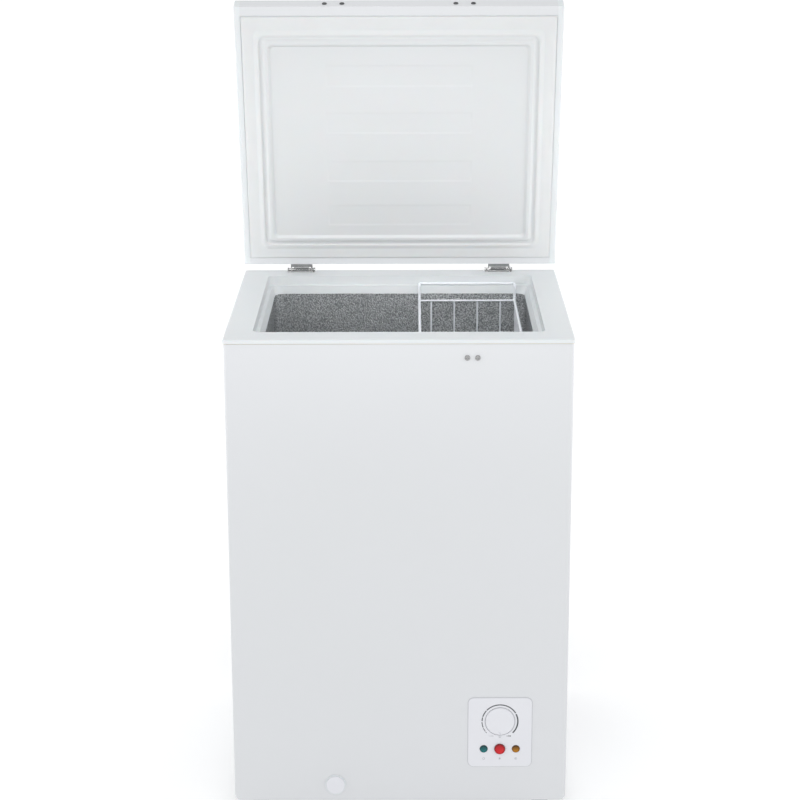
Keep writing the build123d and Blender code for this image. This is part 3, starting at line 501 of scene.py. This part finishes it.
def swept_mark(middle, radius, width, start, end, steps):
    """A flat arc on the bezel, from start to end in degrees clockwise from the top."""
    bpy.ops.object.select_all(action="DESELECT")
    bpy.ops.mesh.primitive_plane_add(size=1, location=(middle[0], bezel_face - film, middle[1]),
                                     rotation=(math.pi / 2, 0, 0))
    mark = bpy.context.object
    bpy.ops.object.transform_apply(location=True, rotation=True, scale=True)
    arc_mesh = bmesh.new()
    around = Vector((middle[0], bezel_face - film, middle[1]))
    inner = arc_mesh.verts.new(around + Vector((0, 0, radius - width)))
    outer = arc_mesh.verts.new(around + Vector((0, 0, radius)))
    arc_mesh.edges.new((inner, outer))
    arc_mesh.to_mesh(mark.data)
    arc_mesh.free()
    bpy.ops.object.mode_set(mode="EDIT")
    bpy.ops.mesh.select_all(action="SELECT")
    bpy.ops.transform.rotate(value=-math.radians(start), orient_axis="Y", center_override=around)
    bpy.ops.mesh.spin(steps=steps, angle=-math.radians(end - start), center=around, axis=(0, 1, 0))
    bpy.ops.object.mode_set(mode="OBJECT")
    return mark


def bar_mark(middle, width, height, slant):
    """A flat bar on the bezel, leaning clockwise by slant degrees."""
    bpy.ops.object.select_all(action="DESELECT")
    bpy.ops.mesh.primitive_plane_add(size=1, location=(middle[0], bezel_face - film, middle[1]),
                                     rotation=(math.pi / 2, math.radians(slant), 0))
    mark = bpy.context.object
    mark.scale = (width, height, 1)
    bpy.ops.object.transform_apply(location=True, rotation=True, scale=True)
    return mark


def print_marks(name, marks, material):
    """Joins flat marks into one film, its face to the front."""
    bpy.ops.object.select_all(action="DESELECT")
    for mark in marks:
        mark.select_set(True)
    bpy.context.view_layer.objects.active = marks[0]
    if len(marks) > 1:
        bpy.ops.object.join()
    print_film = marks[0]
    print_film.name = name
    bpy.ops.object.mode_set(mode="EDIT")
    bpy.ops.mesh.select_all(action="SELECT")
    bpy.ops.mesh.remove_doubles(threshold=0.000005)
    bpy.ops.object.mode_set(mode="OBJECT")
    for face in print_film.data.polygons:
        if face.normal.y > 0:
            face.flip()
    thickness = print_film.modifiers.new("thickness", "SOLIDIFY")
    thickness.thickness, thickness.offset = film * 1.5, -1.0
    bpy.ops.object.modifier_apply(modifier="thickness")
    print_film.data.materials.clear()
    print_film.data.materials.append(material)
    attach(print_film, "cabinet")


dark_ink, place = new_finish("dark_grey_printing_ink")
coverage = add(dark_ink, "TexNoise", Vector=place, Scale=2500.0, Detail=2.0)
dark_ink_colour = add(dark_ink, "Mix", out=2, data_type="RGBA", i0=coverage, i6=linear("#46494D"), i7=linear("#55585C"))
add(dark_ink, "OutputMaterial", Surface=add(dark_ink, "BsdfPrincipled", Base_Color=dark_ink_colour, Roughness=0.5))
light_ink, place = new_finish("light_grey_printing_ink")
coverage = add(light_ink, "TexNoise", Vector=place, Scale=2500.0, Detail=2.0)
light_ink_colour = add(
    light_ink, "Mix", out=2, data_type="RGBA", i0=coverage, i6=linear("#9A9DA1"), i7=linear("#ABAEB2"))
add(light_ink, "OutputMaterial", Surface=add(light_ink, "BsdfPrincipled", Base_Color=light_ink_colour, Roughness=0.5))

bar_pitch = 0.0016       # between the five level bars, which grow to the right
bar_width, bar_foot, bar_growth = 0.0009, 0.0010, 0.0004            # the darker bars: full cold
faint_width, faint_foot, faint_growth = 0.0007, 0.0008, 0.0003      # the lighter ones: least cold
knob_centre = (knob_middle.x, knob_middle.z)
dark_marks = [swept_mark(knob_centre, scale_outside, width, start, end, max(3, int((end - start) / 3)))
              for start, end, width in scale_stretches]
full_cold = (knob_middle.x + 0.0142, knob_middle.z - 0.0259)
dark_marks += [bar_mark((full_cold[0] + bar_pitch * step, full_cold[1]), bar_width,
                        bar_foot + bar_growth * (step + 2), 0)
               for step in range(-2, 3)]
print_marks("knob_scale_print", dark_marks, dark_ink)

lamp_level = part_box("power_lamp_lens")[0].z - 0.0092
power_x = (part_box("power_lamp_lens")[0].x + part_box("power_lamp_lens")[1].x) / 2
run_x = (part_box("run_lamp_lens")[0].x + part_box("run_lamp_lens")[1].x) / 2
least_cold = (knob_middle.x - 0.0144, knob_middle.z - 0.0259)
light_marks = [bar_mark((least_cold[0] + bar_pitch * step, least_cold[1]), faint_width,
                        faint_foot + faint_growth * (step + 2), 0)
               for step in range(-2, 3)]
line, ring = 0.0005, 0.0021   # a pictogram's line width and outer radius
off_sign = (knob_middle.x, knob_middle.z - 0.0272)
for middle, size in ((off_sign, 0.0019), ((power_x, lamp_level), ring)):   # a switch sign: open ring and bar
    light_marks.append(swept_mark(middle, size, line, 35, 325, 20))
    light_marks.append(bar_mark((middle[0], middle[1] + 0.6 * size), line, size, 0))
for slant in (0, 60, 120):   # a snow crystal: three bars crossed into six arms
    light_marks.append(bar_mark((knob_middle.x, lamp_level), line, 0.0046, slant))
for side in (-1, 1):   # a pump wheel: ring and hub, for the running compressor
    light_marks.append(swept_mark((run_x, lamp_level), ring, line, 90 - 90 * side, 270 - 90 * side, 12))
light_marks.append(swept_mark((run_x, lamp_level), 0.0008, 0.0006, 0, 360, 12))
print_marks("pictogram_print", light_marks, light_ink)

# ---- Galvanised sheet: back panel, base pan, compressor plate, bay panel and the thermostat's case.
# Hot-dip zinc, dull grey, with crystals 8 to 15 mm across that each tilt the light a little differently.
galvanised, place = new_finish("galvanised_steel")
crystals = add(galvanised, "TexVoronoi", out="Color", Vector=place, Scale=90.0)   # 11 mm across
crystal = add(galvanised, "SeparateColor", Color=crystals)
zinc_grey = add(galvanised, "Mix", out=2, data_type="RGBA", i0=crystal, i6=linear("#A7ABAD"), i7=linear("#BCC0C2"))
add(galvanised, "OutputMaterial", Surface=add(
    galvanised, "BsdfPrincipled", Base_Color=zinc_grey, Metallic=0.85,
    Roughness=add(galvanised, "MapRange", Value=crystal, i3=0.38, i4=0.55)))
give(galvanised, "back_panel", "base_pan", "compressor_plate", "compressor_bay_panel", "thermostat_body")

# ---- Insulation: rigid polyurethane foam, blown between wrapper and tub and inside the lid.
polyurethane, place = new_finish("polyurethane_foam")
pores = add(polyurethane, "TexVoronoi", Vector=place, Scale=900.0)   # real cells are 0.3 mm, drawn at 1.1 mm
pu_colour = add(polyurethane, "Mix", out=2, data_type="RGBA", i0=pores, i6=linear("#E3D6A8"), i7=linear("#D2C38F"))
add(polyurethane, "OutputMaterial", Surface=add(
    polyurethane, "BsdfPrincipled", Base_Color=pu_colour, Roughness=0.95,
    Normal=add(polyurethane, "Bump", Height=pores, Strength=0.5, Distance=0.0008)))
give(polyurethane, "foam_insulation", "lid_foam")

# ---- Cold pipework: drawn copper for evaporator, drier and refrigerant lines, browned where it was brazed.
copper, place = new_finish("drawn_copper")
tarnish = add(copper, "TexNoise", Vector=place, Scale=60.0, Detail=4.0)
copper_colour = add(copper, "Mix", out=2, data_type="RGBA", i0=tarnish, i6=linear("#B86F4A"), i7=linear("#7E4A35"))
add(copper, "OutputMaterial", Surface=add(
    copper, "BsdfPrincipled", Base_Color=copper_colour, Metallic=1.0,
    Roughness=add(copper, "MapRange", Value=tarnish, i3=0.25, i4=0.5)))
give(copper, "evaporator_coil", "filter_drier", "refrigerant_pipes")

# ---- Warm pipework: copper-plated steel tube with a grey phosphate coat, clipped behind the wrapper.
phosphated, place = new_finish("phosphated_steel_tube")
rubbed = add(phosphated, "TexNoise", Vector=place, Scale=80.0, Detail=3.0)
phosphate_colour = add(
    phosphated, "Mix", out=2, data_type="RGBA", i0=rubbed, i6=linear("#5F6366"), i7=linear("#7B7F82"))
add(phosphated, "OutputMaterial", Surface=add(
    phosphated, "BsdfPrincipled", Base_Color=phosphate_colour, Metallic=0.7,
    Roughness=add(phosphated, "MapRange", Value=rubbed, i3=0.4, i4=0.6)))
give(phosphated, "condenser_coil")

# ---- Compressor can: deep-drawn steel in thick black enamel, with sags that ripple its highlights.
enamel, place = new_finish("black_enamel")
sags = add(enamel, "TexNoise", Vector=place, Scale=130.0, Detail=2.0)
enamel_colour = add(enamel, "Mix", out=2, data_type="RGBA", i0=sags, i6=linear("#161617"), i7=linear("#232325"))
add(enamel, "OutputMaterial", Surface=add(
    enamel, "BsdfPrincipled", Base_Color=enamel_colour, Roughness=0.25,
    Normal=add(enamel, "Bump", Height=sags, Strength=0.15, Distance=0.0006)))
give(enamel, "compressor")

# ---- Feet, compressor grommets and the cord's inlet grommet: moulded black rubber with a grey bloom.
rubber, place = new_finish("moulded_rubber")
bloom = add(rubber, "TexNoise", Vector=place, Scale=120.0, Detail=4.0)
rubber_colour = add(rubber, "Mix", out=2, data_type="RGBA", i0=bloom, i6=linear("#1C1C1C"), i7=linear("#323231"))
add(rubber, "OutputMaterial", Surface=add(
    rubber, "BsdfPrincipled", Base_Color=rubber_colour,
    Roughness=add(rubber, "MapRange", Value=bloom, i3=0.7, i4=0.95)))
give(rubber, "compressor_grommets", "cord_inlet_grommet", "feet")

# ---- Electrical housings: polypropylene, black for relay cover, lamp holders and switch, grey for the control box.
for name, dark, light, parts in (
    ("black_polypropylene", "#1C1D1F", "#2A2B2D", ("start_relay_cover", "lamp_holders", "fast_freeze_switch")),
    ("grey_polypropylene", "#85888B", "#989B9E", ("control_box",)),
):
    housing, place = new_finish(name)
    texture = add(housing, "TexNoise", Vector=place, Scale=1500.0, Detail=2.0)
    housing_colour = add(housing, "Mix", out=2, data_type="RGBA", i0=texture, i6=linear(dark), i7=linear(light))
    add(housing, "OutputMaterial", Surface=add(
        housing, "BsdfPrincipled", Base_Color=housing_colour,
        Roughness=add(housing, "MapRange", Value=texture, i3=0.45, i4=0.65)))
    give(housing, *parts)
